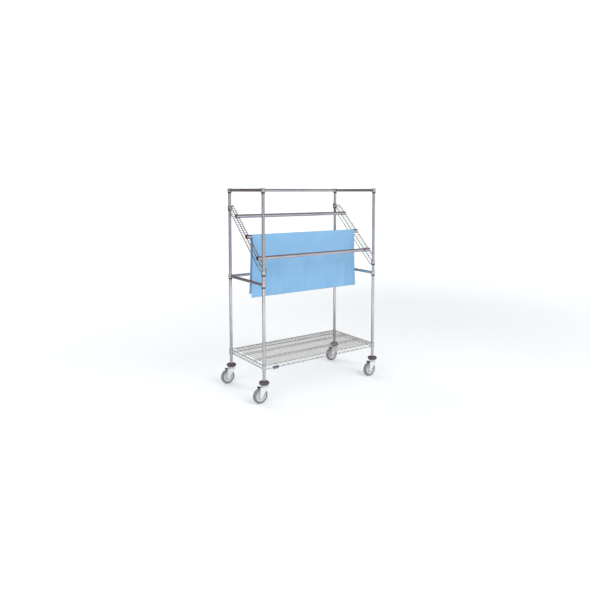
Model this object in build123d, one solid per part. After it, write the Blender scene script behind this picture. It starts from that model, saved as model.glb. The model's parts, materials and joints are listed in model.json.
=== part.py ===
from build123d import *
import math
import os

# Wheeled wire cart for draping linen: four posts, a three-sided top and middle frame,
# two slanted wire brackets that carry three loose bars, a wire shelf and four casters.
# Millimetres. +X is the cart's right, -Y its open front, +Z up, z = 0 is the floor.

# Overall layout: post centre lines and heights above the floor
POST_SPACING_X = 1186.0
POST_SPACING_Y = 577.0
POST_BOTTOM = 150.0
POST_LENGTH = 1600.0
TOP_FRAME_Z = 1739.0
MID_FRAME_Z = 973.0
SHELF_Z = 289.0

# Tube stock shared by posts, rails and bars
TUBE_R = 12.7
TUBE_WALL = 1.2
GROOVE_PITCH = 25.4
GROOVE_DEPTH = 0.6
GROOVE_HALF_WIDTH = 0.9
FIT_GAP = 0.05

# Collars, corner castings and the split sleeves inside them
COLLAR_R = 17.5
COLLAR_HEIGHT = 34.0
COLLAR_EDGE = 1.5
SLEEVE_TOP_R = 14.2
SLEEVE_BOTTOM_R = 15.0
SLEEVE_RING_R = 16.4
SLEEVE_RING_HEIGHT = 11.0
SLEEVE_SLIT = 0.8
COPE_DEPTH = 1.0
POST_CAP_HEIGHT = 5.0
POST_CAP_EDGE = 3.0
POST_CAP_PLUG = 14.0

# Slanted brackets
SLOPE = math.radians(42.4)
LADDER_Z = 1354.0
LADDER_WIRE_R = 3.2
LADDER_INNER = 24.0
LADDER_OUTER = 34.0
LADDER_DROP = 47.0
LADDER_BEND_R = 8.0
OUTER_WIRE_REACH = 250.0
OUTER_WIRE_LOW_WELD_Z = 1086.0
OUTER_WIRE_ELBOW = 9.0
RUNG_R = 2.2
RUNG_PITCH = 24.5
RUNG_LIMIT_Y = 262.0
RUNG_PROUD = 5.0
UPPER_COLLAR_Z = 1585.0
LOWER_COLLAR_Z = 1073.0
FIN_THICKNESS = 5.0
WELD_GAP = 0.02

# Loose bars and the sheet draped over the middle one
BAR_R = 15.9
BAR_LENGTH = 1219.0
BAR_STEP_RUNGS = 10
BAR_MIDDLE_S = -28.7
BAR_LIFT_GAP = 0.1
BAR_CAP_THICKNESS = 3.5
BAR_CAP_PLUG = 16.0
SHEET_LEFT_X = -557.0
SHEET_RIGHT_X = 562.5
SHEET_INNER_R = 16.2
SHEET_THICKNESS = 2.0
SHEET_FRONT_DROP = 519.0
SHEET_BACK_DROP = 492.0

# Wire shelf
SHELF_TRUSS_HEIGHT = 32.0
SHELF_EDGE_R = 2.9
SHELF_SNAKE_R = 1.8
SHELF_SNAKE_PITCH = 50.0
SHELF_SNAKE_BEND = 4.0
SHELF_MAT_R = 2.4
SHELF_MAT_PITCH = 25.4
SHELF_MAT_OVERHANG = 4.0
SHELF_RIB_Y = (-96.0, 96.0)
SHELF_RIB_R = 2.0
SHELF_RIB_DEPTH = 14.0
SHELF_COLLAR_HEIGHT = 44.0
LABEL_SIZE = (57.0, 1.6, 27.0)
LABEL_X = -480.5
LABEL_CORNER_R = 3.0
LABEL_CLIP = (5.0, 2.5, 3.0)

# Casters, measured from each swivel axis; every wheel trails towards -X
WHEEL_R = 63.5
WHEEL_HALF_WIDTH = 16.0
TYRE_INNER_R = 47.0
TYRE_SHOULDER = 9.0
CASTER_LEAD = 38.0
BUMPER_R = 42.5
BUMPER_Z = (151.0, 175.0)
BUMPER_EDGE_R = 9.2
BUMPER_GAP = 0.2
STEM_R = 11.3
STEM_TOP = 205.0
STEM_TAPER = (3.0, 4.0)
STEM_FLANGE_R = 22.0
STEM_FLANGE_Z = (145.0, 150.0)
UPPER_RACE_R = 27.0
UPPER_RACE_BOTTOM = 141.6
UPPER_RACE_LIP_Z = 137.0
UPPER_RACE_METAL = 1.5
KINGPIN_R = 6.0
KINGPIN_HEAD_R = 9.0
KINGPIN_HEAD_Z = 129.0
BALL_R = 3.2
BALL_CIRCLE_R = 20.0
BALL_COUNT = 10
FORK_THICKNESS = 3.2
FORK_INNER_HALF = 20.0
FORK_BEND_R = 5.0
CROWN_Z = (131.0, 135.0)
CROWN_FRONT_X = 27.0
CROWN_REAR_X = -38.0
CHEEK_FRONT_DROP = 12.0
CHEEK_REAR_DROP = 12.0
CHEEK_MEETS_BOSS = (13.0, 4.0)
AXLE_BOSS_R = 14.0
AXLE_R = 4.8
AXLE_HEAD_FLATS = 14.0
AXLE_HEAD_HEIGHT = 6.0
AXLE_TIP = 3.0
BUSH_R = 7.0
HUB_HALF_LENGTH = 19.0
HUB_BOSS_R = 16.0
HUB_CHAMFER = 2.0
HUB_FLARE = 3.0
HUB_WEB_HALF = 4.0
HUB_RIM_INNER_R = 40.0
HUB_RIM_HALF = 14.0
BRAKE_PIVOT = (-44.5, 131.3)
BRAKE_PIN_R = 2.0
BRAKE_BARREL_R = 3.6
BRAKE_LUG_R = 4.8
BRAKE_HALF_WIDTH = 18.8
BRAKE_RIVET_HEAD = (3.6, 1.6)

# The brake pedal from the side, as (X, Z) from its pivot: a stubby tread that slopes up and
# away from the fork, with the shoe under its tip, just off the tyre
BRAKE_OUTLINE = (
    (1.0, 3.5),
    (-4.0, 7.0),
    (-10.5, 6.5),
    (-14.0, 1.0),
    (-11.0, -3.2),
    (-8.0, -2.8),
    (-3.0, -1.0),
)

# The wheels trail one way, so the outline isn't centred on the posts: the whole cart is
# moved along X to put the origin at the middle of its footprint, on the floor.
OUTLINE_LEFT = -POST_SPACING_X / 2 - CASTER_LEAD - WHEEL_R
OUTLINE_RIGHT = POST_SPACING_X / 2 + BUMPER_R
SHIFT_X = -(OUTLINE_LEFT + OUTLINE_RIGHT) / 2

POSTS = {
    "front_left": (-POST_SPACING_X / 2, -POST_SPACING_Y / 2),
    "front_right": (POST_SPACING_X / 2, -POST_SPACING_Y / 2),
    "rear_left": (-POST_SPACING_X / 2, POST_SPACING_Y / 2),
    "rear_right": (POST_SPACING_X / 2, POST_SPACING_Y / 2),
}


def save(node, *shapes):
    """Writes one node, keeping each solid separate, in the cart's own frame."""
    solids = [solid for shape in shapes for solid in shape.solids()]
    placed = [Pos(SHIFT_X, 0, 0) * solid for solid in solids]
    export_step(Compound(children=placed), f"parts/{node}.step")


def at_posts(shape):
    """One copy of a shape on each post's centre line."""
    return [Pos(x, y, 0) * shape for x, y in POSTS.values()]


def rod(start, end, radius):
    """A straight round rod from one point to another."""
    along = Vector(*end) - Vector(*start)
    return extrude(Plane(origin=start, z_dir=along) * Circle(radius), amount=along.length)


def bent_rod(points, radius, bend_radius, close=False):
    """A round rod bent along a run of points."""
    path = FilletPolyline(*points, radius=bend_radius, close=close)
    return sweep(Plane(origin=path @ 0, z_dir=path % 0) * Circle(radius), path=path)


def turned(outline):
    """A solid of revolution about Z from (radius, height) points."""
    return revolve(Plane.XZ * make_face(Polyline(*outline, close=True)), axis=Axis.Z)


def rail(start, end):
    """A frame tube whose ends are coped to fit the castings round both posts."""
    along = (Vector(*end) - Vector(*start)).normalized()
    first = Vector(*start) + along * (COLLAR_R - COPE_DEPTH)
    last = Vector(*end) - along * (COLLAR_R - COPE_DEPTH)
    tube = rod(first, last, TUBE_R) - rod(first, last, TUBE_R - TUBE_WALL)
    for end_point in (start, end):
        tube -= Pos(*end_point) * Cylinder(COLLAR_R + WELD_GAP, 4 * TUBE_R)
    return tube


# ---- posts ---------------------------------------------------------------------------


def post():
    """A post tube with a shallow ring groove every inch, for setting shelf heights."""
    top = POST_BOTTOM + POST_LENGTH
    outline = [(TUBE_R - TUBE_WALL, POST_BOTTOM), (TUBE_R, POST_BOTTOM)]
    for step in range(1, int(POST_LENGTH / GROOVE_PITCH)):
        z = POST_BOTTOM + step * GROOVE_PITCH
        outline += [
            (TUBE_R, z - GROOVE_HALF_WIDTH),
            (TUBE_R - GROOVE_DEPTH, z),
            (TUBE_R, z + GROOVE_HALF_WIDTH),
        ]
    outline += [(TUBE_R, top), (TUBE_R - TUBE_WALL, top)]
    return turned(outline)


def post_cap():
    """A rounded cap over the post's top with a plug inside the tube."""
    seat = POST_BOTTOM + POST_LENGTH + FIT_GAP
    crown = Pos(0, 0, seat + POST_CAP_HEIGHT / 2) * Cylinder(TUBE_R, POST_CAP_HEIGHT)
    crown = fillet(crown.edges().group_by(Axis.Z)[-1], POST_CAP_EDGE)
    plug_r = TUBE_R - TUBE_WALL - FIT_GAP
    return crown + Pos(0, 0, seat - POST_CAP_PLUG / 2) * Cylinder(plug_r, POST_CAP_PLUG)


# ---- collars, castings and split sleeves -----------------------------------------------


def collar(middle_z, height):
    """A conical-bored collar, wider inside at its lower end."""
    low = middle_z - height / 2
    high = middle_z + height / 2
    outline = [
        (SLEEVE_BOTTOM_R + FIT_GAP, low),
        (COLLAR_R - COLLAR_EDGE, low),
        (COLLAR_R, low + COLLAR_EDGE),
        (COLLAR_R, high - COLLAR_EDGE),
        (COLLAR_R - COLLAR_EDGE, high),
        (SLEEVE_TOP_R + FIT_GAP, high),
    ]
    return turned(outline)


def split_sleeve(middle_z, height):
    """The two half sleeves wedged inside a collar, with the ring that shows below it."""
    low = middle_z - height / 2
    high = middle_z + height / 2
    bore = TUBE_R + FIT_GAP
    outline = [
        (bore, low - SLEEVE_RING_HEIGHT),
        (SLEEVE_RING_R - COLLAR_EDGE / 2, low - SLEEVE_RING_HEIGHT),
        (SLEEVE_RING_R, low - SLEEVE_RING_HEIGHT + COLLAR_EDGE / 2),
        (SLEEVE_RING_R, low - FIT_GAP),
        (SLEEVE_BOTTOM_R, low - FIT_GAP),
        (SLEEVE_TOP_R, high),
        (bore, high),
    ]
    slit = Pos(0, 0, middle_z) * Box(SLEEVE_SLIT, 2 * COLLAR_R, 2 * height)
    return turned(outline) - slit


def save_frame(name, z):
    """A three-sided frame: left, right and back rails, open at the front."""
    half_x, half_y = POST_SPACING_X / 2, POST_SPACING_Y / 2
    save(f"{name}_rail_left", rail((-half_x, -half_y, z), (-half_x, half_y, z)))
    save(f"{name}_rail_right", rail((half_x, -half_y, z), (half_x, half_y, z)))
    save(f"{name}_rail_back", rail((-half_x, half_y, z), (half_x, half_y, z)))
    save(f"{name}_corner_castings", *at_posts(collar(z, COLLAR_HEIGHT)))
    save(f"{name}_split_sleeves", *at_posts(split_sleeve(z, COLLAR_HEIGHT)))


# ---- slanted brackets --------------------------------------------------------------------


def ladder_point(s, above=0.0):
    """(Y, Z) of the point s mm up the slope and this far off it, square to it."""
    y = s * math.cos(SLOPE) - above * math.sin(SLOPE)
    z = LADDER_Z + s * math.sin(SLOPE) + above * math.cos(SLOPE)
    return y, z


def ladder_z(y):
    """Height of the long wires' centre line at this depth."""
    return LADDER_Z + y * math.tan(SLOPE)


def inner_loop(x):
    """The inner long wire and the stiffening wire under it, bent into one closed loop."""
    half_y = POST_SPACING_Y / 2
    corners = [
        (x, -half_y, ladder_z(-half_y)),
        (x, half_y, ladder_z(half_y)),
        (x, half_y, ladder_z(half_y) - LADDER_DROP),
        (x, -half_y, ladder_z(-half_y) - LADDER_DROP),
    ]
    return bent_rod(corners, LADDER_WIRE_R, LADDER_BEND_R, close=True)


def outer_wire(post_x, side):
    """The outer long wire, bent in at both ends to butt square against the collars."""
    x = post_x + side * LADDER_OUTER
    half_y = POST_SPACING_Y / 2
    reach = OUTER_WIRE_REACH
    towards = math.atan2(half_y - reach, LADDER_OUTER)

    def out_from_collar(distance):
        away = COLLAR_R + WELD_GAP + distance
        return post_x + side * away * math.cos(towards), half_y - away * math.sin(towards)

    weld_x, weld_y = out_from_collar(0)
    elbow_x, elbow_y = out_from_collar(OUTER_WIRE_ELBOW)
    points = [
        (weld_x, -weld_y, OUTER_WIRE_LOW_WELD_Z),
        (elbow_x, -elbow_y, OUTER_WIRE_LOW_WELD_Z),
        (x, -reach, ladder_z(-reach)),
        (x, reach, ladder_z(reach)),
        (weld_x, weld_y, ladder_z(reach)),
    ]
    return bent_rod(points, LADDER_WIRE_R, LADDER_BEND_R)


def rung_height():
    """Height of the rungs' centres above the long wires', square to the slope."""
    return LADDER_WIRE_R + RUNG_R + WELD_GAP


def rungs(post_x, side):
    """Short cross wires on top of the two long wires, one pitch apart up the slope."""
    start_x = post_x - side * (LADDER_INNER + LADDER_WIRE_R + RUNG_PROUD / 2)
    end_x = post_x + side * (LADDER_OUTER + LADDER_WIRE_R + RUNG_PROUD / 2)
    wires = []
    count = int(POST_SPACING_Y / RUNG_PITCH)
    for step in range(-count, count):
        s = BAR_MIDDLE_S + (step + 0.5) * RUNG_PITCH
        y, z = ladder_point(s, rung_height())
        if abs(y) < RUNG_LIMIT_Y:
            wires.append(rod((start_x, y, z), (end_x, y, z), RUNG_R))
    return wires


def bracket_collar(post_x, post_y, side, middle_z):
    """A collar with the fin that its loop wire is welded to."""
    fin_start = COLLAR_R - COPE_DEPTH
    fin_end = LADDER_INNER - LADDER_WIRE_R - WELD_GAP
    fin = Pos(-side * (fin_start + fin_end) / 2, 0, middle_z) * Box(
        fin_end - fin_start, FIN_THICKNESS, COLLAR_HEIGHT - 2 * COLLAR_EDGE
    )
    return Pos(post_x, post_y, 0) * (collar(middle_z, COLLAR_HEIGHT) + fin)


def save_brackets():
    """Both slanted brackets, with their collars and split sleeves."""
    collars = []
    sleeves = []
    for name, side in (("left", -1), ("right", 1)):
        post_x = side * POST_SPACING_X / 2
        loop = inner_loop(post_x - side * LADDER_INNER)
        save(f"bracket_{name}_long_wires", loop, outer_wire(post_x, side))
        save(f"bracket_{name}_rungs", *rungs(post_x, side))
        for end, z in ((-1, LOWER_COLLAR_Z), (1, UPPER_COLLAR_Z)):
            post_y = end * POST_SPACING_Y / 2
            collars.append(bracket_collar(post_x, post_y, side, z))
            sleeves.append(Pos(post_x, post_y, 0) * split_sleeve(z, COLLAR_HEIGHT))
    save("bracket_collars", *collars)
    save("bracket_split_sleeves", *sleeves)


# ---- loose bars and the draped sheet --------------------------------------------------------


def bar_centre(step):
    """(Y, Z) of a bar's axis: it lies on the long wires, against the rung below it."""
    reach = LADDER_WIRE_R + BAR_R + BAR_LIFT_GAP
    rung_reach = RUNG_R + BAR_R + BAR_LIFT_GAP
    settle = RUNG_PITCH / 2 - math.sqrt(rung_reach**2 - (reach - rung_height())**2)
    s = BAR_MIDDLE_S + step * BAR_STEP_RUNGS * RUNG_PITCH - settle
    return ladder_point(s, reach)


def bar(y, z):
    """An open tube across both brackets."""
    half = BAR_LENGTH / 2 - BAR_CAP_THICKNESS
    ends = ((-half, y, z), (half, y, z))
    return rod(*ends, BAR_R) - rod(*ends, BAR_R - TUBE_WALL)


def bar_caps(y, z):
    """A flat-faced plug in each end of a bar."""
    caps = []
    for side in (-1, 1):
        face = side * BAR_LENGTH / 2
        seat = side * (BAR_LENGTH / 2 - BAR_CAP_THICKNESS + FIT_GAP)
        inner = side * (BAR_LENGTH / 2 - BAR_CAP_THICKNESS - BAR_CAP_PLUG)
        disc = rod((seat, y, z), (face, y, z), BAR_R)
        plug = rod((inner, y, z), (face, y, z), BAR_R - TUBE_WALL - FIT_GAP)
        caps.append(disc + plug)
    return caps


def draped_sheet(y, z):
    """The sheet as a plain shell: over the bar and straight down on both sides."""
    width = SHEET_RIGHT_X - SHEET_LEFT_X
    inner, outer = SHEET_INNER_R, SHEET_INNER_R + SHEET_THICKNESS
    profile = Circle(outer) - Circle(inner)
    profile -= Pos(0, -outer) * Rectangle(4 * outer, 2 * outer)
    for y_side, drop in ((-1, SHEET_FRONT_DROP), (1, SHEET_BACK_DROP)):
        leg_middle = y_side * (inner + outer) / 2
        profile += Pos(leg_middle, -drop / 2) * Rectangle(SHEET_THICKNESS, drop)
    across = Plane(origin=(SHEET_LEFT_X, y, z), x_dir=(0, 1, 0), z_dir=(1, 0, 0))
    return extrude(across * profile, amount=width)


def save_bars():
    """Three bars with their end caps, and the sheet on the middle one."""
    for name, step in (("lower", -1), ("middle", 0), ("upper", 1)):
        y, z = bar_centre(step)
        save(f"bar_{name}", bar(y, z))
        save(f"bar_{name}_end_caps", *bar_caps(y, z))
    save("draped_sheet", draped_sheet(*bar_centre(0)))


# ---- wire shelf ---------------------------------------------------------------------------------


def snake(start, end, drop):
    """A zigzag wire between two parallel wires, one at this line and one below it."""
    teeth = 2 * round((end - start).length / SHELF_SNAKE_PITCH)
    points = []
    for tooth in range(1, teeth):
        along = start + (end - start) * (tooth / teeth)
        points.append(along - drop if tooth % 2 else along)
    return bent_rod(points, SHELF_SNAKE_R, SHELF_SNAKE_BEND)


def truss(start, end, top_z, depth, wire_r, snake_side):
    """A top and a bottom wire, with a snake wire on one side of them."""
    start, end = Vector(*start, top_z), Vector(*end, top_z)
    drop = Vector(0, 0, depth)
    beside = Vector(*snake_side, 0) * (wire_r + SHELF_SNAKE_R + WELD_GAP)
    return [
        rod(start, end, wire_r),
        rod(start - drop, end - drop, wire_r),
        snake(start + beside, end + beside, drop),
    ]


def truss_top():
    """Height of the edge trusses' top wires."""
    return SHELF_Z + SHELF_TRUSS_HEIGHT / 2


def truss_bottom():
    """Height of the edge trusses' bottom wires."""
    return SHELF_Z - SHELF_TRUSS_HEIGHT / 2


def save_trusses():
    """The shelf's four edges, each butting against the collars at its ends."""
    half_x, half_y = POST_SPACING_X / 2, POST_SPACING_Y / 2
    end_x, end_y = half_x - COLLAR_R - WELD_GAP, half_y - COLLAR_R - WELD_GAP
    for name, sign in (("front", -1), ("rear", 1)):
        y = sign * half_y
        ends = (-end_x, y), (end_x, y)
        wires = truss(*ends, truss_top(), SHELF_TRUSS_HEIGHT, SHELF_EDGE_R, (0, -sign))
        save(f"shelf_truss_{name}", *wires)
    for name, sign in (("left", -1), ("right", 1)):
        x = sign * half_x
        ends = (x, -end_y), (x, end_y)
        wires = truss(*ends, truss_top(), SHELF_TRUSS_HEIGHT, SHELF_EDGE_R, (sign, 0))
        save(f"shelf_truss_{name}", *wires)


def mat_height():
    """Centre height of the mat wires, which lie on the top edge wires."""
    return truss_top() + SHELF_EDGE_R + SHELF_MAT_R + WELD_GAP


def mat_wires():
    """Front-to-back wires one pitch apart across the whole shelf."""
    z = mat_height()
    reach = POST_SPACING_Y / 2 + SHELF_MAT_OVERHANG
    room = POST_SPACING_X / 2 - COLLAR_R - SHELF_MAT_R
    count = int(room / SHELF_MAT_PITCH)
    wires = []
    for step in range(-count, count + 1):
        x = step * SHELF_MAT_PITCH
        wires.append(rod((x, -reach, z), (x, reach, z), SHELF_MAT_R))
    return wires


def ribs():
    """Two long ribs under the mat, each a shallow truss that reaches the side edges."""
    top = mat_height() - SHELF_MAT_R - SHELF_RIB_R - WELD_GAP
    end_x = POST_SPACING_X / 2 - SHELF_EDGE_R - WELD_GAP
    wires = []
    for y in SHELF_RIB_Y:
        ends = (-end_x, y), (end_x, y)
        wires += truss(*ends, top, SHELF_RIB_DEPTH, SHELF_RIB_R, (0, 1))
    return wires


def label_plate():
    """A blank plate over the front edge's bottom wire, with two clips that rest on the wire."""
    width, thickness, height = LABEL_SIZE
    y = -POST_SPACING_Y / 2 - SHELF_EDGE_R - thickness / 2 - WELD_GAP
    plate = Box(width, thickness, height)
    plate = fillet(plate.edges().filter_by(Axis.Y), LABEL_CORNER_R)
    placed = Pos(LABEL_X, y, truss_bottom()) * plate
    clip_width, clip_depth, clip_height = LABEL_CLIP
    clip_z = truss_bottom() + SHELF_EDGE_R + clip_height / 2 + WELD_GAP
    for side in (-1, 1):
        clip = Box(clip_width, thickness + clip_depth, clip_height)
        placed += Pos(LABEL_X + side * width / 3, y + clip_depth / 2, clip_z) * clip
    return placed


def save_shelf():
    """The wire shelf, its collars and split sleeves, and its label plate."""
    save_trusses()
    save("shelf_mat_wires", *mat_wires())
    save("shelf_ribs", *ribs())
    save("shelf_collars", *at_posts(collar(SHELF_Z, SHELF_COLLAR_HEIGHT)))
    save("shelf_split_sleeves", *at_posts(split_sleeve(SHELF_Z, SHELF_COLLAR_HEIGHT)))
    save("shelf_label_plate", label_plate())


# ---- casters, built round a swivel axis at the origin -------------------------------------------


def bumper():
    """A soft ring round the foot of the post, rounded all over."""
    low, high = BUMPER_Z
    middle = (low + high) / 2
    ring = Pos(0, 0, middle) * Cylinder(BUMPER_R, high - low)
    ring = fillet(ring.edges(), BUMPER_EDGE_R)
    return ring - Pos(0, 0, middle) * Cylinder(TUBE_R + BUMPER_GAP, 2 * (high - low))


def stem():
    """The stem up inside the post, its flange and upper race, and the kingpin."""
    flange_low, flange_high = STEM_FLANGE_Z
    taper_width, taper_height = STEM_TAPER
    outline = [
        (0, KINGPIN_HEAD_Z),
        (KINGPIN_HEAD_R, KINGPIN_HEAD_Z),
        (KINGPIN_HEAD_R, CROWN_Z[0] - FIT_GAP),
        (KINGPIN_R, CROWN_Z[0] - FIT_GAP),
        (KINGPIN_R, UPPER_RACE_BOTTOM),
        (UPPER_RACE_R - UPPER_RACE_METAL, UPPER_RACE_BOTTOM),
        (UPPER_RACE_R - UPPER_RACE_METAL, UPPER_RACE_LIP_Z),
        (UPPER_RACE_R, UPPER_RACE_LIP_Z),
        (UPPER_RACE_R, UPPER_RACE_BOTTOM + UPPER_RACE_METAL),
        (STEM_FLANGE_R, flange_low),
        (STEM_FLANGE_R, flange_high - FIT_GAP),
        (STEM_R, flange_high - FIT_GAP),
        (STEM_R, STEM_TOP - taper_height),
        (STEM_R - taper_width, STEM_TOP),
        (0, STEM_TOP),
    ]
    return turned(outline)


def race_balls():
    """The ring of balls between the fork's crown and the upper race."""
    z = (CROWN_Z[1] + UPPER_RACE_BOTTOM) / 2
    places = PolarLocations(BALL_CIRCLE_R, BALL_COUNT)
    return [place * Pos(0, 0, z) * Sphere(BALL_R) for place in places]


def fork_side():
    """The fork seen from the side, in (X, Z)."""
    pivot_x, pivot_z = BRAKE_PIVOT
    crown_high = CROWN_Z[1]
    meets_x, meets_z = CHEEK_MEETS_BOSS
    cheek = make_face(
        Polyline(
            (CROWN_FRONT_X, crown_high),
            (CROWN_FRONT_X, crown_high - CHEEK_FRONT_DROP),
            (-CASTER_LEAD + meets_x, WHEEL_R + meets_z),
            (-CASTER_LEAD - meets_x, WHEEL_R + meets_z),
            (pivot_x - BRAKE_BARREL_R, pivot_z - CHEEK_REAR_DROP),
            (pivot_x, crown_high),
            close=True,
        )
    )
    boss = Pos(-CASTER_LEAD, WHEEL_R) * Circle(AXLE_BOSS_R)
    lug = Pos(pivot_x, pivot_z) * Circle(BRAKE_LUG_R)
    return cheek + boss + lug


def fork():
    """A pressed fork: two legs bent down from a crown that turns on the kingpin."""
    outer_half = FORK_INNER_HALF + FORK_THICKNESS
    high = CROWN_Z[1]
    section = Pos(0, high / 2) * Rectangle(2 * outer_half, high)
    section = fillet(section.vertices().group_by(Axis.Y)[-1], FORK_BEND_R)
    hollow_high = CROWN_Z[0]
    hollow = Pos(0, hollow_high / 2) * Rectangle(2 * FORK_INNER_HALF, hollow_high)
    hollow = fillet(hollow.vertices().group_by(Axis.Y)[-1], FORK_BEND_R - FORK_THICKNESS)
    across = Plane(origin=(0, 0, 0), x_dir=(0, 1, 0), z_dir=(1, 0, 0))
    length = 2 * (CASTER_LEAD + WHEEL_R)
    folded = extrude(across * (section - hollow), amount=length, both=True)
    silhouette = extrude(Plane.XZ * fork_side(), amount=2 * outer_half, both=True)
    body = folded & silhouette
    crown_room = 2 * (high - hollow_high)
    body -= Pos(CROWN_REAR_X - length / 2, 0, high) * Box(
        length, 2 * FORK_INNER_HALF, crown_room + 2 * FORK_BEND_R
    )
    pivot_x, pivot_z = BRAKE_PIVOT
    axle_hole = cross_rod(-CASTER_LEAD, WHEEL_R, 2 * outer_half, AXLE_R + FIT_GAP)
    pin_hole = cross_rod(pivot_x, pivot_z, 2 * outer_half, BRAKE_PIN_R + FIT_GAP)
    kingpin_hole = Pos(0, 0, high) * Cylinder(KINGPIN_R + FIT_GAP, 2 * crown_room)
    return body - axle_hole - pin_hole - kingpin_hole


def cross_rod(x, z, half_length, radius):
    """A rod across the caster, square to its legs."""
    return rod((x, -half_length, z), (x, half_length, z), radius)


def hexagon_head(y_from, y_to):
    """A hexagon head or nut on the axle's line."""
    plane = Plane(origin=(-CASTER_LEAD, y_from, WHEEL_R), z_dir=(0, y_to - y_from, 0))
    hexagon = RegularPolygon(AXLE_HEAD_FLATS / 2, 6, major_radius=False)
    return extrude(plane * hexagon, amount=abs(y_to - y_from))


def axle():
    """The axle bolt, its nut, and the bush clamped between the fork's legs."""
    face = FORK_INNER_HALF + FORK_THICKNESS + FIT_GAP
    tip = face + AXLE_HEAD_HEIGHT + AXLE_TIP
    shank = rod((-CASTER_LEAD, -face, WHEEL_R), (-CASTER_LEAD, tip, WHEEL_R), AXLE_R)
    bolt = shank + hexagon_head(-face, -face - AXLE_HEAD_HEIGHT)
    bore = cross_rod(-CASTER_LEAD, WHEEL_R, tip, AXLE_R + FIT_GAP)
    nut = hexagon_head(face, face + AXLE_HEAD_HEIGHT) - bore
    bush = cross_rod(-CASTER_LEAD, WHEEL_R, FORK_INNER_HALF - FIT_GAP, BUSH_R) - bore
    return [bolt, nut, bush]


def wheel_turned(outline):
    """A solid of revolution about the axle from (radius, width) points."""
    profile = make_face(Polyline(*outline, close=True))
    return Pos(-CASTER_LEAD, 0, WHEEL_R) * revolve(profile, axis=Axis.Y)


def mirrored_outline(half):
    """A closed outline from its upper half, mirrored in width."""
    return half + [(radius, -width) for radius, width in reversed(half)]


def hub():
    """The wheel's core: boss, dished web and rim."""
    rim_outer = TYRE_INNER_R - FIT_GAP
    half = [
        (BUSH_R + FIT_GAP, HUB_HALF_LENGTH),
        (HUB_BOSS_R - HUB_CHAMFER, HUB_HALF_LENGTH),
        (HUB_BOSS_R, HUB_HALF_LENGTH - HUB_CHAMFER),
        (HUB_BOSS_R + HUB_FLARE, HUB_WEB_HALF + HUB_CHAMFER),
        (HUB_BOSS_R + 2 * HUB_FLARE, HUB_WEB_HALF),
        (HUB_RIM_INNER_R - 2 * HUB_FLARE, HUB_WEB_HALF),
        (HUB_RIM_INNER_R - HUB_CHAMFER, HUB_WEB_HALF + HUB_CHAMFER),
        (HUB_RIM_INNER_R, HUB_RIM_HALF),
        (rim_outer, HUB_RIM_HALF),
    ]
    return wheel_turned(mirrored_outline(half))


def tyre():
    """A soft tread ring with rounded shoulders."""
    profile = Pos((TYRE_INNER_R + WHEEL_R) / 2, 0) * Rectangle(
        WHEEL_R - TYRE_INNER_R, 2 * WHEEL_HALF_WIDTH
    )
    profile = fillet(profile.vertices().group_by(Axis.X)[-1], TYRE_SHOULDER)
    return Pos(-CASTER_LEAD, 0, WHEEL_R) * revolve(profile, axis=Axis.Y)


def brake_pedal():
    """The brake's pedal and shoe, in one piece with the barrel round its pin."""
    pivot_x, pivot_z = BRAKE_PIVOT
    tread_and_shoe = Pos(pivot_x, pivot_z) * make_face(Polyline(*BRAKE_OUTLINE, close=True))
    side = tread_and_shoe + Pos(pivot_x, pivot_z) * Circle(BRAKE_BARREL_R)
    body = extrude(Plane.XZ * side, amount=BRAKE_HALF_WIDTH, both=True)
    return body - cross_rod(pivot_x, pivot_z, BRAKE_HALF_WIDTH, BRAKE_PIN_R + FIT_GAP)


def brake_pin():
    """The rivet that the brake pedal turns on, headed outside both legs."""
    pivot_x, pivot_z = BRAKE_PIVOT
    head_r, head_height = BRAKE_RIVET_HEAD
    face = FORK_INNER_HALF + FORK_THICKNESS + FIT_GAP
    tip = face + head_height
    pin = cross_rod(pivot_x, pivot_z, tip, BRAKE_PIN_R)
    for side in (-1, 1):
        pin += rod((pivot_x, side * face, pivot_z), (pivot_x, side * tip, pivot_z), head_r)
    return pin


def save_casters():
    """Four casters: fixed stems and bumpers, then each fork, axle, wheel and brake."""
    save("caster_bumpers", *at_posts(bumper()))
    save("caster_stems", *at_posts(stem()))
    balls = [ball for ring_ball in race_balls() for ball in at_posts(ring_ball)]
    save("caster_race_balls", *balls)
    pieces = {
        "fork": [fork()],
        "axle": [*axle(), brake_pin()],
        "wheel_hub": [hub()],
        "tyre": [tyre()],
        "brake_pedal": [brake_pedal()],
    }
    for place, (x, y) in POSTS.items():
        for piece, solids in pieces.items():
            save(f"caster_{place}_{piece}", *[Pos(x, y, 0) * solid for solid in solids])


def main():
    os.makedirs("parts", exist_ok=True)
    tube = post()
    for place, (x, y) in POSTS.items():
        save(f"post_{place}", Pos(x, y, 0) * tube)
    save("post_caps", *at_posts(post_cap()))
    save_frame("top", TOP_FRAME_Z)
    save_frame("mid", MID_FRAME_Z)
    save_brackets()
    save_bars()
    save_shelf()
    save_casters()


main()
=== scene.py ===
import bisect
import json
import math

import bmesh
import bpy
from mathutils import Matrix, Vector, noise


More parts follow.
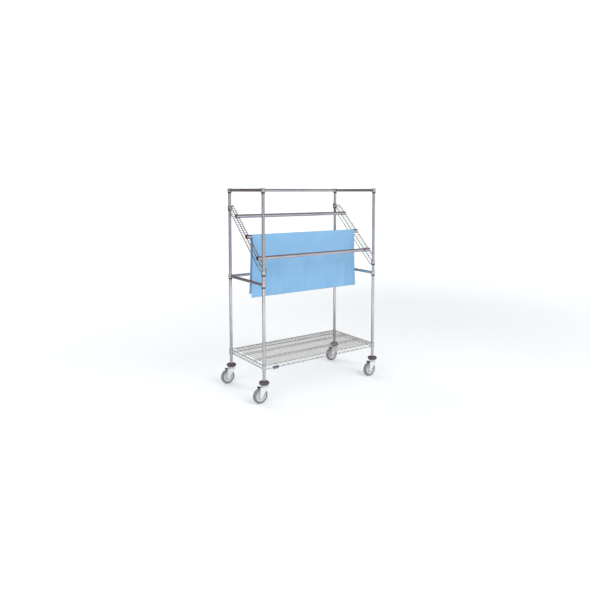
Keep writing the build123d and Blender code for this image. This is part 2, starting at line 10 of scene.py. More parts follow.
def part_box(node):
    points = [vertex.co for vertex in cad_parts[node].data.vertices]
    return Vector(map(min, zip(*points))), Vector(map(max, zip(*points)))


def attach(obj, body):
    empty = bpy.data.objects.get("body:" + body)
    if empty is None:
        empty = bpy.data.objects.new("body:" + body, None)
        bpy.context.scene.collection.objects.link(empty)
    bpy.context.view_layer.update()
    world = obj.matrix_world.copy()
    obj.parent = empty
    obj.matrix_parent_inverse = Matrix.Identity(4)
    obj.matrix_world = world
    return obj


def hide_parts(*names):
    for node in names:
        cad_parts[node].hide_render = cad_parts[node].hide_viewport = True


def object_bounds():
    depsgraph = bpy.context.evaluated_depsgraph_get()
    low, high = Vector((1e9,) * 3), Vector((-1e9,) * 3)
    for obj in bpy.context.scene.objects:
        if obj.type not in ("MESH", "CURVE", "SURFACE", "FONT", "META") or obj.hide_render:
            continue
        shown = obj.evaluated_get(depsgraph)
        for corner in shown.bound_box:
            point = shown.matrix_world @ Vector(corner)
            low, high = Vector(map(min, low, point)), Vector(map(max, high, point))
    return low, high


# A wheeled wire cart for draping linen, with a blue sheet hung over its middle bar.
# The metalwork, plastics and wheels are the CAD nodes with materials of their own;
# the sheet is simulated cloth with hems and stitching.

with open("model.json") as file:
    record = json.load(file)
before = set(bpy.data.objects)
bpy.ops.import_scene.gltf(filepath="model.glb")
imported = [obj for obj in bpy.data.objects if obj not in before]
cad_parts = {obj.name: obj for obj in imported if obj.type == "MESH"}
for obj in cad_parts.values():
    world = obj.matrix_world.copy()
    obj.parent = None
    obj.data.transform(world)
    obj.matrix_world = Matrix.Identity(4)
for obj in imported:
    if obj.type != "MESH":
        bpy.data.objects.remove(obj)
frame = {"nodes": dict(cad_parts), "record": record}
cad_low, cad_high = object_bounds()

# Camera, in metres and degrees
CAMERA_AT = (-2.8177, -4.0746, 1.7338)
CAMERA_YAW = 35.083
CAMERA_PITCH = 4.5
CAMERA_LENS = 33.48
CAMERA_SHIFT = (-0.0162, -0.1034)

# Stage
FLOOR_R = 7.0
FLOOR_BEND_R = 2.5
WALL_TOP = 7.0
STAGE_SEGMENTS = 96
STAGE_BEND_STEPS = 16
STAGE_COLOUR = (0.83, 0.86, 0.878)
STAGE_IN_METAL = (0.24, 0.205, 0.20)
STAGE_DIM_FROM = -3.0
STAGE_DIM_TO = 3.5
SKY_COLOUR = (0.84, 0.80, 0.78)
SKY_IN_METAL = (0.34, 0.285, 0.275)
SKY_STRENGTH = 0.70
GLOW_COLOUR = (0.955, 0.99, 1.0)
GLOW_REACH = (2.5, 7.5)
FLOOR_GLOW = 0.14
WALL_GLOW = 0.46

# Softboxes: place, side, watts, colour
SOFTBOXES = {
    "key": ((1.6, -5.0, 4.8), 3.6, 185, (1.0, 0.99, 0.98)),
    "fill": ((-5.2, -2.0, 3.4), 3.6, 95, (0.96, 0.98, 1.0)),
    "back": ((-1.2, 4.8, 4.8), 3.0, 110, (1, 1, 1)),
    "low": ((-4.2, -4.6, 1.3), 2.4, 60, (0.96, 0.98, 1.0)),
}

# Sheet
WEAVE_PITCH = 0.0009
CLOTH_THICKNESS = 0.0007
CLOTH_GAP = 0.0012
CLOTH_GRID = 0.0085
FOLD_ROWS = 12
HELD_FALL = 0.012
CLOTH_FRAMES = 45
CLOTH_SPREAD = 0.006
CLOTH_FLARE = 0.020
RIPPLE_DEPTHS = (0.0090, 0.0058)
RIPPLE_LENGTHS = (0.41, 0.23)
SAG_DEPTH = 0.018
PUCKER_DEPTH = 0.010
EDGE_CLEARANCE = 0.003
CREASE_DEPTH = 0.0056
CREASE_HALF_WIDTH = 0.010
CREASE_FADE = 0.10
CREASES_DOWN = ((0.25, 1), (0.5, -1), (0.75, 1))
CREASE_ACROSS_FALL = 0.26
CREASE_ACROSS_SHARE = 0.8
BOTTOM_HEM = 0.025
SIDE_HEM = 0.012
STITCH_PITCH = 0.0042
STITCH_LENGTH = 0.0030
STITCH_R = 0.00035
STITCH_INSET = 0.86
STITCH_SIDES = 6


# ---- node material helpers -------------------------------------------------------------


def new_material(name, colour, roughness, metallic=0.0, **sockets):
    """A Principled material; extra sockets are named with underscores for spaces."""
    material = bpy.data.materials.new(name)
    material.use_nodes = True
    bsdf = material.node_tree.nodes["Principled BSDF"]
    bsdf.inputs["Base Color"].default_value = (*colour, 1)
    bsdf.inputs["Roughness"].default_value = roughness
    bsdf.inputs["Metallic"].default_value = metallic
    for socket, value in sockets.items():
        bsdf.inputs[socket.replace("_", " ")].default_value = value
    return material


def shader_of(material):
    return material.node_tree.nodes["Principled BSDF"]


def add_node(material, kind, **settings):
    node = material.node_tree.nodes.new(kind)
    for name, value in settings.items():
        setattr(node, name, value)
    return node


def link(material, output, socket):
    material.node_tree.links.new(output, socket)


def coordinates(material, space="Object", stretch=(1, 1, 1)):
    """Texture coordinates in the part's own frame, stretched to follow a grain."""
    source = add_node(material, "ShaderNodeTexCoord")
    mapping = add_node(material, "ShaderNodeMapping")
    mapping.inputs["Scale"].default_value = stretch
    link(material, source.outputs[space], mapping.inputs["Vector"])
    return mapping.outputs["Vector"]


def noise_map(material, scale, detail=3.0, stretch=(1, 1, 1), space="Object"):
    node = add_node(material, "ShaderNodeTexNoise")
    node.inputs["Scale"].default_value = scale
    node.inputs["Detail"].default_value = detail
    link(material, coordinates(material, space, stretch), node.inputs["Vector"])
    return node.outputs["Fac"]


def remap(material, value, low, high, to_low, to_high):
    """A value's range from low to high, eased to another range and held beyond it."""
    node = add_node(material, "ShaderNodeMapRange", interpolation_type="SMOOTHSTEP")
    for socket, number in (
        ("From Min", low),
        ("From Max", high),
        ("To Min", to_low),
        ("To Max", to_high),
    ):
        node.inputs[socket].default_value = number
    link(material, value, node.inputs["Value"])
    return node.outputs["Result"]


def arithmetic(material, operation, first, second):
    """One Math node; each input is an output socket or a number."""
    node = add_node(material, "ShaderNodeMath", operation=operation)
    for socket, value in zip(node.inputs, (first, second)):
        if isinstance(value, (int, float)):
            socket.default_value = value
        else:
            link(material, value, socket)
    return node.outputs["Value"]


def mix_colours(material, factor, first, second):
    """A colour between two, each an output socket or an (r, g, b)."""
    node = add_node(material, "ShaderNodeMix", data_type="RGBA")
    link(material, factor, node.inputs["Factor"])
    for socket, value in ((node.inputs[6], first), (node.inputs[7], second)):
        if isinstance(value, tuple):
            socket.default_value = (*value, 1)
        else:
            link(material, value, socket)
    return node.outputs[2]


def paint(material, colour):
    link(material, colour, shader_of(material).inputs["Base Color"])


def polish(material, roughness):
    link(material, roughness, shader_of(material).inputs["Roughness"])


def emboss(material, *layers):
    """Bump from (height, strength, distance in metres) layers, one on top of the other."""
    previous = None
    for height, strength, distance in layers:
        bump = add_node(material, "ShaderNodeBump")
        bump.inputs["Strength"].default_value = strength
        bump.inputs["Distance"].default_value = distance
        link(material, height, bump.inputs["Height"])
        if previous:
            link(material, previous, bump.inputs["Normal"])
        previous = bump.outputs["Normal"]
    link(material, previous, shader_of(material).inputs["Normal"])


def radial(material):
    """Distance from a wheel's axle: 0 at the axle and 1 at the edge of its own box."""
    split = add_node(material, "ShaderNodeSeparateXYZ")
    link(material, coordinates(material, "Generated"), split.inputs["Vector"])
    squares = []
    for axis in ("X", "Z"):
        offset = arithmetic(material, "SUBTRACT", split.outputs[axis], 0.5)
        squares.append(arithmetic(material, "POWER", arithmetic(material, "ABSOLUTE", offset, 0), 2))
    total = arithmetic(material, "ADD", *squares)
    return arithmetic(material, "MULTIPLY", arithmetic(material, "SQRT", total, 0), 2)


# ---- materials -------------------------------------------------------------------------


def chrome_tube(axis):
    """Bright plated tube: polishing lines along it, and the haze that hands leave."""
    clean, hazy = (0.72, 0.685, 0.725), (0.645, 0.61, 0.645)
    material = new_material(f"chrome_tube_{axis}", clean, 0.12, 1.0)
    stretch = {"x": (1, 60, 60), "y": (60, 1, 60), "z": (60, 60, 1)}[axis]
    lines = noise_map(material, 12, 4, stretch)
    haze = noise_map(material, 9, 4)
    specks = noise_map(material, 420, 2)
    dull = remap(material, haze, 0.35, 0.7, 0, 1)
    paint(material, mix_colours(material, dull, clean, hazy))
    rough = remap(material, haze, 0.3, 0.75, 0.11, 0.21)
    polish(material, arithmetic(material, "ADD", rough, remap(material, specks, 0.66, 0.78, 0, 0.10)))
    emboss(material, (lines, 0.06, 0.0001), (specks, 0.02, 0.0001))
    return material


def chrome_casting():
    """Plate over a casting: brighter and a little uneven, dulled in patches."""
    bright, dulled = (0.74, 0.725, 0.74), (0.61, 0.59, 0.60)
    material = new_material("chrome_casting", bright, 0.2, 1.0)
    cast = noise_map(material, 160, 4)
    dull = noise_map(material, 30, 3)
    patches = remap(material, dull, 0.4, 0.7, 0, 1)
    paint(material, mix_colours(material, patches, bright, dulled))
    polish(material, remap(material, dull, 0.3, 0.7, 0.15, 0.32))
    emboss(material, (cast, 0.25, 0.0004))
    return material


def chrome_wire(name, bright, dull):
    """Plated welded wire: drawing marks, and a faint brown bloom in places."""
    material = new_material(name, bright, 0.2, 1.0)
    bloom = noise_map(material, 14, 5)
    draw = noise_map(material, 260, 3)
    brown = remap(material, bloom, 0.45, 0.7, 0, 1)
    paint(material, mix_colours(material, brown, bright, dull))
    polish(material, remap(material, bloom, 0.35, 0.7, 0.16, 0.34))
    emboss(material, (draw, 0.15, 0.0002))
    return material


def zinc_steel():
    """Bright zinc plate, with its soft crystal pattern and fine rolling grain."""
    bright, grey = (0.93, 0.945, 0.955), (0.86, 0.88, 0.89)
    material = new_material("zinc_steel", bright, 0.34, 0.38)
    crystals = add_node(material, "ShaderNodeTexVoronoi")
    crystals.inputs["Scale"].default_value = 110
    link(material, coordinates(material), crystals.inputs["Vector"])
    grain = noise_map(material, 500, 2, (1, 1, 0.1))
    stain = noise_map(material, 40, 4)
    shade = remap(material, crystals.outputs["Distance"], 0, 0.8, 0, 0.5)
    paint(material, mix_colours(material, shade, bright, grey))
    polish(material, remap(material, stain, 0.3, 0.7, 0.27, 0.46))
    emboss(material, (grain, 0.12, 0.0002))
    return material


def polished_ball():
    material = new_material("ball_steel", (0.75, 0.75, 0.75), 0.12, 1.0)
    polish(material, remap(material, noise_map(material, 300), 0.3, 0.7, 0.08, 0.2))
    return material


def moulded(name, colour, worn, roughness, grain_scale=700):
    """Satin moulded plastic: fine grain, and paler where it has been handled."""
    material = new_material(name, colour, roughness)
    wear = noise_map(material, 55, 5)
    grain = noise_map(material, grain_scale, 2)
    rubbed = remap(material, wear, 0.52, 0.72, 0, 1)
    paint(material, mix_colours(material, rubbed, colour, worn))
    polish(material, remap(material, wear, 0.3, 0.7, roughness - 0.08, roughness + 0.1))
    emboss(material, (grain, 0.2, 0.0002))
    return material


def bumper_rubber():
    """Soft dark ring, matt, with a dusty bloom on it."""
    dark, dusty = (0.092, 0.071, 0.098), (0.125, 0.105, 0.130)
    material = new_material("bumper_rubber", dark, 0.62)
    dust = noise_map(material, 150, 5)
    bloom = remap(material, dust, 0.40, 0.7, 0, 1)
    paint(material, mix_colours(material, bloom, dark, dusty))
    polish(material, remap(material, dust, 0.3, 0.7, 0.5, 0.75))
    emboss(material, (dust, 0.35, 0.0006), (noise_map(material, 420, 2), 0.2, 0.0002))
    return material


def grey_tyre():
    """Non-marking grey tread: moulding rings on its flanks, dust where it rolls."""
    grey, dusty = (0.205, 0.205, 0.22), (0.27, 0.267, 0.262)
    material = new_material("grey_tyre", grey, 0.7)
    edge = radial(material)
    patches = remap(material, noise_map(material, 190, 4), 0.35, 0.75, 0, 1)
    dust = arithmetic(material, "MULTIPLY", remap(material, edge, 0.90, 0.99, 0, 1), patches)
    paint(material, mix_colours(material, dust, grey, dusty))
    polish(material, remap(material, dust, 0, 1, 0.62, 0.85))
    rings = arithmetic(material, "SINE", arithmetic(material, "MULTIPLY", edge, 190), 0)
    emboss(material, (rings, 0.12, 0.0003), (noise_map(material, 600, 3), 0.3, 0.0003))
    return material


def hub_plastic():
    """Pale grey moulded wheel core, with turned rings, and darker near the axle in blotches."""
    pale, centre_dark = (0.62, 0.615, 0.66), (0.27, 0.265, 0.29)
    material = new_material("hub_plastic", pale, 0.42)
    edge = radial(material)
    blotches = remap(material, noise_map(material, 90, 5), 0.4, 0.7, 0.1, 0.8)
    marks = arithmetic(material, "MULTIPLY", remap(material, edge, 0.25, 0.55, 1, 0), blotches)
    paint(material, mix_colours(material, marks, pale, centre_dark))
    polish(material, remap(material, marks, 0, 1, 0.38, 0.6))
    rings = arithmetic(material, "SINE", arithmetic(material, "MULTIPLY", edge, 120), 0)
    emboss(material, (rings, 0.1, 0.0003), (noise_map(material, 500, 2), 0.12, 0.0002))
    return material


def label_plastic():
    """A blank glossy plate, dark blue with a paler lower half."""
    navy, pale = (0.07, 0.075, 0.16), (0.26, 0.26, 0.40)
    material = new_material("label_plastic", navy, 0.25, Coat_Weight=0.4)
    split = add_node(material, "ShaderNodeSeparateXYZ")
    link(material, coordinates(material, "Generated"), split.inputs["Vector"])
    band = remap(material, split.outputs["Z"], 0.40, 0.46, 1, 0)
    paint(material, mix_colours(material, band, navy, pale))
    polish(material, remap(material, noise_map(material, 120, 4), 0.3, 0.7, 0.2, 0.36))
    emboss(material, (noise_map(material, 200, 2), 0.05, 0.0002))
    return material


# A wave texture's bands are this far apart, in metres, at scale 1.
BAND_AT_SCALE_ONE = 0.314

LINEN_DARK = (0.212, 0.428, 0.672)
LINEN_LIGHT = (0.243, 0.468, 0.716)


def linen(name, pitch):
    """Plain weave, with slubs along both threads and a soft sheen at grazing angles."""
    material = new_material(name, LINEN_LIGHT, 0.88, Sheen_Weight=0.25, Sheen_Roughness=0.5)
    waves = []
    for direction in ("X", "Y"):
        wave = add_node(material, "ShaderNodeTexWave", bands_direction=direction)
        wave.inputs["Scale"].default_value = BAND_AT_SCALE_ONE / pitch
        wave.inputs["Distortion"].default_value = 0.6
        wave.inputs["Detail Scale"].default_value = 2.0
        link(material, coordinates(material, "UV"), wave.inputs["Vector"])
        waves.append(wave.outputs["Fac"])
    threads = arithmetic(material, "MULTIPLY", *waves)
    weft = noise_map(material, 34, 5, (0.2, 14, 1), "UV")
    warp = noise_map(material, 34, 5, (14, 0.2, 1), "UV")
    slubs = arithmetic(material, "ADD", weft, warp)
    wash = noise_map(material, 5, 4, space="UV")
    faded = remap(material, wash, 0.35, 0.65, 0, 0.6)
    tone = arithmetic(material, "ADD", remap(material, slubs, 0.75, 1.25, 0, 0.6), faded)
    paint(material, mix_colours(material, tone, LINEN_DARK, LINEN_LIGHT))
    polish(material, remap(material, slubs, 0.8, 1.2, 0.82, 0.94))
    emboss(material, (slubs, 0.16, 0.0005), (threads, 0.35, 0.0003))
    return material


def dress_cad_nodes():
    """Gives every CAD node the material of its slot; the bracket wires get a darker copy with painted
    shade, the shelf ribs a paler copy with painted light.
    """
    materials = {
        "chrome_casting": chrome_casting(),
        "chrome_wire": chrome_wire("chrome_wire", (0.68, 0.665, 0.64), (0.51, 0.475, 0.425)),
        "black_plastic": moulded("black_plastic", (0.018, 0.018, 0.021), (0.06, 0.06, 0.065), 0.42),
        "cap_plastic": moulded("cap_plastic", (0.42, 0.42, 0.43), (0.52, 0.52, 0.52), 0.4),
        "bumper_rubber": bumper_rubber(),
        "zinc_steel": zinc_steel(),
        "ball_steel": polished_ball(),
        "grey_tyre": grey_tyre(),
        "hub_plastic": hub_plastic(),
        "brake_plastic": moulded("brake_plastic", (0.020, 0.020, 0.024), (0.07, 0.07, 0.075), 0.45),
        "label_plastic": label_plastic(),
        "blue_linen": linen("blue_linen_backing", WEAVE_PITCH),
    }
    tubes = {axis: chrome_tube(axis) for axis in "xyz"}
    # Painted shade and light: the bracket wires are a darker copy of the plated wire for the dark
    # reflections they show, the shelf ribs a paler copy that offsets the dark stage they mirror.
    shaded_bracket_wire = chrome_wire("shaded_bracket_wire", (0.40, 0.385, 0.37), (0.28, 0.255, 0.225))
    lit_rib_wire = chrome_wire("lit_rib_wire", (0.90, 0.88, 0.85), (0.76, 0.72, 0.67))
    for part in frame["record"]["subparts"]:
        node = part["node"]
        if part["material_slot"] == "chrome_tube":
            low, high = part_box(node)
            size = high - low
            material = tubes["xyz"[max(range(3), key=lambda k: size[k])]]
        elif node in ("bracket_left_long_wires", "bracket_right_long_wires"):
            material = shaded_bracket_wire
        elif node == "shelf_ribs":
            material = lit_rib_wire
        else:
            material = materials[part["material_slot"]]
        mesh = frame["nodes"][node].data
        mesh.materials.clear()
        mesh.materials.append(material)


# ---- the sheet -------------------------------------------------------------------------


class Drape:
    """Where the sheet lies: its edges along X, the bar's axis, and its length each way."""

    def __init__(self):
        low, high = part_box("draped_sheet")
        bar_low, bar_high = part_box("bar_middle")
        self.left, self.right = low.x, high.x - EDGE_CLEARANCE
        self.axis_y = (bar_low.y + bar_high.y) / 2
        self.axis_z = (bar_low.z + bar_high.z) / 2
        self.radius = (bar_high.z - bar_low.z) / 2 + CLOTH_GAP
        quarter = math.pi / 2 * self.radius
        self.quarter = quarter
        self.front = self.axis_z - low.z + quarter
        self.back = self.axis_z - self.back_hem_z() + quarter
        self.width = self.right - self.left
        self.length = self.front + self.back

    def back_hem_z(self):
        """Lowest point of the CAD sheet behind the bar."""
        points = frame["nodes"]["draped_sheet"].data.vertices
        return min(point.co.z for point in points if point.co.y > self.axis_y)

    def point(self, u, s):
        """The hung place of a point u across and s along, s = 0 on top of the bar."""
        side = -1 if s > 0 else 1
        reach = abs(s)
        if reach <= self.quarter:
            angle = reach / self.radius
            y = self.axis_y + side * self.radius * math.sin(angle)
            return Vector((self.left + u, y, self.axis_z + self.radius * math.cos(angle)))
        fall = reach - self.quarter
        share = fall / max(self.front, self.back)
        long_wave, short_wave = (2 * math.pi * u / length for length in RIPPLE_LENGTHS)
        ripple = RIPPLE_DEPTHS[0] * math.sin(long_wave + 1.1 * side)
        ripple += RIPPLE_DEPTHS[1] * math.sin(short_wave + 2.4 + side)
        ripple += SAG_DEPTH * noise.noise(Vector((u * 3.1, s * 2.3, 4.0 + side)))
        ripple += PUCKER_DEPTH * noise.noise(Vector((u * 11.0, s * 4.0, 9.0 + side)))
        out = self.radius + CLOTH_SPREAD * share + ripple * share ** 1.3
        middle = u - self.width / 2
        flare = CLOTH_FLARE * (2 * middle / self.width) ** 3 * share ** 2
        return Vector((self.left + u + flare, self.axis_y + side * out, self.axis_z - fall))


def row_places(drape):
    """Where the grid's rows lie along the cut: close together over the bar, wider below it."""
    places = []
    for fall, side in ((drape.back - drape.quarter, -1), (drape.front - drape.quarter, 1)):
        count = round(fall / CLOTH_GRID)
        places += [side * (drape.quarter + fall * k / count) for k in range(count + 1)]
    places += [drape.quarter * (2 * k / FOLD_ROWS - 1) for k in range(1, FOLD_ROWS)]
    return sorted(places)


def cloth_grid(drape):
    """The cut sheet as a grid of faces with a UV map in metres, in its hung shape."""
    across = round(drape.width / CLOTH_GRID)
    shape = bmesh.new()
    uv_layer = shape.loops.layers.uv.new("cut")
    flat = {}
    rows = []
    for s in row_places(drape):
        points = []
        for column in range(across + 1):
            u = drape.width * column / across
            vertex = shape.verts.new(drape.point(u, s))
            flat[vertex] = (u, s)
            points.append(vertex)
        rows.append(points)
    for low, high in zip(rows, rows[1:]):
        for column in range(across):
            face = shape.faces.new((low[column], low[column + 1], high[column + 1], high[column]))
            face.smooth = True
            for loop in face.loops:
                loop[uv_layer].uv = flat[loop.vert]
    mesh = bpy.data.meshes.new("linen_sheet")
    shape.to_mesh(mesh)
    shape.free()
    sheet = bpy.data.objects.new("linen_sheet", mesh)
    bpy.context.scene.collection.objects.link(sheet)
    return sheet, across


def hang(sheet, drape):
    """Lets the sheet hang from the bar under gravity, then keeps the settled shape."""
    held = sheet.vertex_groups.new(name="held")
    for vertex, (u, s) in zip(sheet.data.vertices, cut_positions(sheet)):
        if abs(s) < drape.quarter + HELD_FALL:
            held.add([vertex.index], 1.0, "REPLACE")
    cloth = sheet.modifiers.new("hang", "CLOTH")
    cloth.settings.quality = 7
    cloth.settings.mass = 0.15
    cloth.settings.tension_stiffness = 40
    cloth.settings.compression_stiffness = 40
    cloth.settings.shear_stiffness = 12
    cloth.settings.bending_stiffness = 1.2
    cloth.settings.air_damping = 3.0
    cloth.settings.vertex_group_mass = "held"
    cloth.point_cache.frame_start = 1
    cloth.point_cache.frame_end = CLOTH_FRAMES
    for step in range(1, CLOTH_FRAMES + 1):
        bpy.context.scene.frame_set(step)
    settled = bpy.data.meshes.new_from_object(
        sheet.evaluated_get(bpy.context.evaluated_depsgraph_get())
    )
    sheet.modifiers.remove(cloth)
    sheet.data = settled
    settled.name = "linen_sheet"
    bpy.context.scene.frame_set(1)


class Surface:
    """The settled sheet as a surface that can be read at any (u, s) of the cut."""

    def __init__(self, sheet, drape, across):
        self.drape, self.across = drape, across
        self.rows = row_places(drape)
        self.points = [vertex.co.copy() for vertex in sheet.data.vertices]
        self.normals = [vertex.normal.copy() for vertex in sheet.data.vertices]

    def read(self, values, u, s):
        column = min(max(u / self.drape.width, 0), 0.999999) * self.across
        c = int(column)
        r = min(max(bisect.bisect_right(self.rows, s) - 1, 0), len(self.rows) - 2)
        fc = column - c
        fr = (s - self.rows[r]) / (self.rows[r + 1] - self.rows[r])
        stride = self.across + 1
        corner = values[r * stride + c].lerp(values[r * stride + c + 1], fc)
        other = values[(r + 1) * stride + c].lerp(values[(r + 1) * stride + c + 1], fc)
        return corner.lerp(other, fr)

    def at(self, u, s, out=0.0):
        """The point at (u, s), moved this far off the cloth's outer side."""
        return self.read(self.points, u, s) + self.outward(u, s) * out

    def outward(self, u, s):
        normal = self.read(self.normals, u, s).normalized()
        away = Vector((0, self.read(self.points, u, s).y - self.drape.axis_y, 0.001))
        return normal if normal.dot(away) > 0 else -normal


def press_creases(sheet, drape):
    """Folds left by ironing: down the quarters of the width, and across each panel."""
    for vertex, (u, s) in zip(sheet.data.vertices, cut_positions(sheet)):
        fall = abs(s) - drape.quarter
        if fall <= 0:
            continue
        share = min(fall / CREASE_FADE, 1)
        depth = 0.0
        for place, sign in CREASES_DOWN:
            gap = abs(u - place * drape.width)
            depth += sign * max(0.0, 1 - gap / CREASE_HALF_WIDTH)
        gap = abs(fall - CREASE_ACROSS_FALL)
        depth += CREASE_ACROSS_SHARE * max(0.0, 1 - gap / CREASE_HALF_WIDTH)
        side = -1 if s > 0 else 1
        vertex.co.y += side * CREASE_DEPTH * share * depth


def cut_positions(sheet):
    """(u, s) of every vertex, read back from the UV map."""
    positions = [(0.0, 0.0)] * len(sheet.data.vertices)
    layer = sheet.data.uv_layers[0].data
    for loop in sheet.data.loops:
        positions[loop.vertex_index] = tuple(layer[loop.index].uv)
    return positions


def hem_lines(drape):
    """Each hem as (its strip's outer edge, inner edge) functions of a share along it."""
    width, front, back = drape.width, drape.front, drape.back
    length = drape.length

    def along_bottom(s_edge, s_fold):
        return lambda t: (t * width, s_edge), lambda t: (t * width, s_fold), width

    def along_side(u_edge, u_fold):
        return (
            lambda t: (u_edge, -back + t * length),
            lambda t: (u_fold, -back + t * length),
            length,
        )

    return {
        "front": along_bottom(front, front - BOTTOM_HEM),
        "back": along_bottom(-back, -back + BOTTOM_HEM),
        "left": along_side(0.0, SIDE_HEM),
        "right": along_side(width, width - SIDE_HEM),
    }


def mesh_piece(name, shape, material, body="middle_bar"):
    """A finished piece from a bmesh, with its material, slot and body."""
    bmesh.ops.recalc_face_normals(shape, faces=shape.faces)
    mesh = bpy.data.meshes.new(name)
    shape.to_mesh(mesh)
    shape.free()
    mesh.materials.append(material)
    piece = bpy.data.objects.new(name, mesh)
    bpy.context.scene.collection.objects.link(piece)
    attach(piece, body)
    return piece


def hem(surface, name, line, material):
    """The turned-up layer of one hem: a thin closed strip against the inner side."""
    outer, inner, length = line
    steps = round(length / CLOTH_GRID)
    layer = 0.5 * CLOTH_THICKNESS
    shape = bmesh.new()
    uv_layer = shape.loops.layers.uv.new("cut")
    flat = {}
    rings = []
    for step in range(steps + 1):
        t = step / steps
        ring = []
        for edge, depth in ((outer, -layer), (inner, -layer), (inner, -3 * layer), (outer, -3.6 * layer)):
            u, s = edge(t)
            vertex = shape.verts.new(surface.at(u, s, depth))
            flat[vertex] = (u, s)
            ring.append(vertex)
        rings.append(ring)
    for one, two in zip(rings, rings[1:]):
        for k in range(4):
            shape.faces.new((one[k], one[(k + 1) % 4], two[(k + 1) % 4], two[k]))
    shape.faces.new(rings[0])
    shape.faces.new(rings[-1])
    for face in shape.faces:
        for loop in face.loops:
            loop[uv_layer].uv = flat[loop.vert]
    return mesh_piece(f"sheet_hem_{name}", shape, material)


def stitch(shape, start, end, outward):
    """One short thread lying on the cloth, six-sided, sunk at both ends."""
    along = (end - start).normalized()
    across = along.cross(outward).normalized()
    rings = []
    for share, size in ((0.0, 0.35), (0.25, 1.0), (0.75, 1.0), (1.0, 0.35)):
        centre = start.lerp(end, share) + outward * STITCH_R * (size - 0.6)
        ring = []
        for k in range(STITCH_SIDES):
            angle = 2 * math.pi * k / STITCH_SIDES
            offset = across * math.cos(angle) + outward * math.sin(angle)
            ring.append(shape.verts.new(centre + offset * STITCH_R * size))
        rings.append(ring)
    for one, two in zip(rings, rings[1:]):
        for k in range(STITCH_SIDES):
            after = (k + 1) % STITCH_SIDES
            face = shape.faces.new((one[k], one[after], two[after], two[k]))
            face.smooth = True
    shape.faces.new(reversed(rings[0]))
    shape.faces.new(rings[-1])


def stitching(surface, name, line, material):
    """A row of stitches just inside the fold of one hem, on the cloth's outer side."""
    outer, inner, length = line
    count = int(length / STITCH_PITCH)
    shape = bmesh.new()
    for step in range(1, count - 1):
        ends = []
        for t in (step / count, step / count + STITCH_LENGTH / length):
            (u_edge, s_edge), (u_fold, s_fold) = outer(t), inner(t)
            u = u_edge + STITCH_INSET * (u_fold - u_edge)
            s = s_edge + STITCH_INSET * (s_fold - s_edge)
            ends.append((u, s))
        outward = surface.outward(*ends[0])
        stitch(
            shape,
            surface.at(*ends[0], 0.5 * CLOTH_THICKNESS),
            surface.at(*ends[1], 0.5 * CLOTH_THICKNESS),
            outward,
        )
    return mesh_piece(f"sheet_stitching_{name}", shape, material)


def thread_material():
    material = new_material("sewing_thread", (0.30, 0.52, 0.76), 0.6)
    twist = noise_map(material, 900, 2)
    paint(material, mix_colours(material, twist, (0.24, 0.45, 0.70), (0.36, 0.58, 0.80)))
    emboss(material, (twist, 0.4, 0.0001))
    return material


def build_sheet():
    """The draped sheet with its four hems and their stitching."""
    drape = Drape()
    sheet, across = cloth_grid(drape)
    hang(sheet, drape)
    press_creases(sheet, drape)
    sheet.data.update()
    cloth_material = linen("blue_linen", WEAVE_PITCH)
    sheet.data.materials.clear()
    sheet.data.materials.append(cloth_material)
    surface = Surface(sheet, drape, across)
    thread = thread_material()
    for name, line in hem_lines(drape).items():
        hem(surface, name, line, cloth_material)
        stitching(surface, name, line, thread)
    thicken = sheet.modifiers.new("cloth_thickness", "SOLIDIFY")
    thicken.thickness = CLOTH_THICKNESS
    thicken.offset = 0
    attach(sheet, "middle_bar")
    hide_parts("draped_sheet")


# ---- stage, lights and camera ----------------------------------------------------------


def stage_material():
    """Pale matt paper; it looks a little brighter to the camera than to the metal."""
    material = new_material("pale_stage", STAGE_COLOUR, 0.95)
    bsdf = shader_of(material)
    bsdf.inputs["Emission Color"].default_value = (*GLOW_COLOUR, 1)
    place = coordinates(material)
    split = add_node(material, "ShaderNodeSeparateXYZ")
    link(material, place, split.inputs["Vector"])
    reach = add_node(material, "ShaderNodeVectorMath", operation="LENGTH")
    link(material, place, reach.inputs["Vector"])
    glow = remap(material, reach.outputs["Value"], *GLOW_REACH, FLOOR_GLOW, WALL_GLOW)
    path = add_node(material, "ShaderNodeLightPath")
    glow = arithmetic(material, "MULTIPLY", path.outputs["Is Camera Ray"], glow)
    link(material, glow, bsdf.inputs["Emission Strength"])
    # Painted reflection: to glossy rays the stage turns darker towards the back, so the metal mirrors a
    # dim stage there.
    behind = remap(material, split.outputs["Y"], STAGE_DIM_FROM, STAGE_DIM_TO, 0, 1)
    dim = arithmetic(material, "MULTIPLY", path.outputs["Is Glossy Ray"], behind)
    paint(material, mix_colours(material, dim, STAGE_COLOUR, STAGE_IN_METAL))
    return material


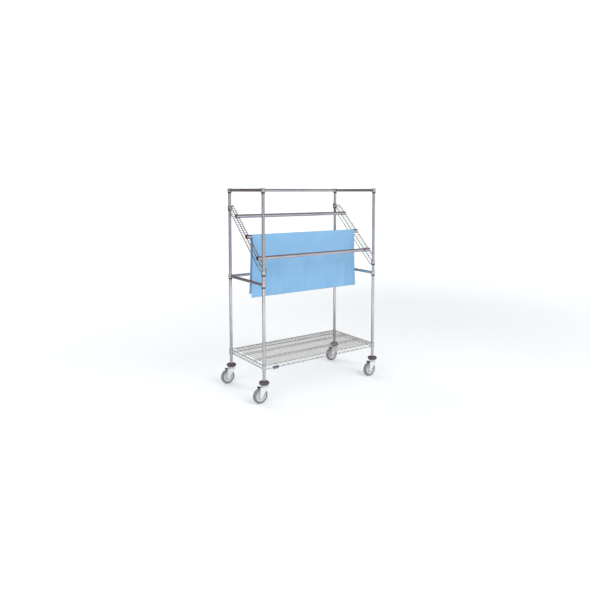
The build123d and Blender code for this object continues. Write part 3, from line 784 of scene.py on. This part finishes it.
def build_stage():
    """A round pale floor that curves up into a wall, so no horizon shows from any side."""
    profile = [(0.0, 0.0), (FLOOR_R / 2, 0.0), (FLOOR_R, 0.0)]
    for step in range(1, STAGE_BEND_STEPS + 1):
        angle = step / STAGE_BEND_STEPS * math.pi / 2
        out = FLOOR_R + FLOOR_BEND_R * math.sin(angle)
        profile.append((out, FLOOR_BEND_R * (1 - math.cos(angle))))
    profile.append((FLOOR_R + FLOOR_BEND_R, WALL_TOP))
    shape = bmesh.new()
    rings = []
    for radius, z in profile[1:]:
        ring = []
        for k in range(STAGE_SEGMENTS):
            angle = 2 * math.pi * k / STAGE_SEGMENTS
            ring.append(shape.verts.new((radius * math.cos(angle), radius * math.sin(angle), z)))
        rings.append(ring)
    shape.faces.new(rings[0])
    for low, high in zip(rings, rings[1:]):
        for k in range(STAGE_SEGMENTS):
            after = (k + 1) % STAGE_SEGMENTS
            face = shape.faces.new((low[k], low[after], high[after], high[k]))
            face.smooth = True
    mesh = bpy.data.meshes.new("stage")
    shape.to_mesh(mesh)
    shape.free()
    mesh.materials.append(stage_material())
    stage = bpy.data.objects.new("stage", mesh)
    bpy.context.scene.collection.objects.link(stage)


def softbox(name, place, size, power, colour):
    """A square area light aimed at the middle of the cart, and not mirrored in its metal."""
    data = bpy.data.lights.new(name, "AREA")
    data.shape = "SQUARE"
    data.size = size
    data.energy = power
    data.color = colour
    lamp = bpy.data.objects.new(name, data)
    bpy.context.scene.collection.objects.link(lamp)
    lamp.visible_glossy = False
    lamp.location = place
    middle = (cad_low + cad_high) / 2
    lamp.rotation_mode = "QUATERNION"
    lamp.rotation_quaternion = (middle - Vector(place)).to_track_quat("-Z", "Y")


def build_lights():
    world = bpy.data.worlds.new("studio")
    bpy.context.scene.world = world
    world.use_nodes = True
    sky = world.node_tree.nodes["Background"]
    path = add_node(world, "ShaderNodeLightPath")
    tint = mix_colours(world, path.outputs["Is Glossy Ray"], SKY_COLOUR, SKY_IN_METAL)
    link(world, tint, sky.inputs["Color"])
    sky.inputs["Strength"].default_value = SKY_STRENGTH
    for name, settings in SOFTBOXES.items():
        softbox(name, *settings)


def build_camera():
    data = bpy.data.cameras.new("camera")
    data.lens = CAMERA_LENS
    data.shift_x, data.shift_y = CAMERA_SHIFT
    camera = bpy.data.objects.new("camera", data)
    bpy.context.scene.collection.objects.link(camera)
    camera.location = CAMERA_AT
    camera.rotation_euler = (
        math.radians(90 - CAMERA_PITCH),
        0,
        math.radians(-CAMERA_YAW),
    )
    bpy.context.scene.camera = camera


bpy.context.scene.view_settings.view_transform = "Standard"
dress_cad_nodes()
build_sheet()
build_stage()
build_lights()
build_camera()
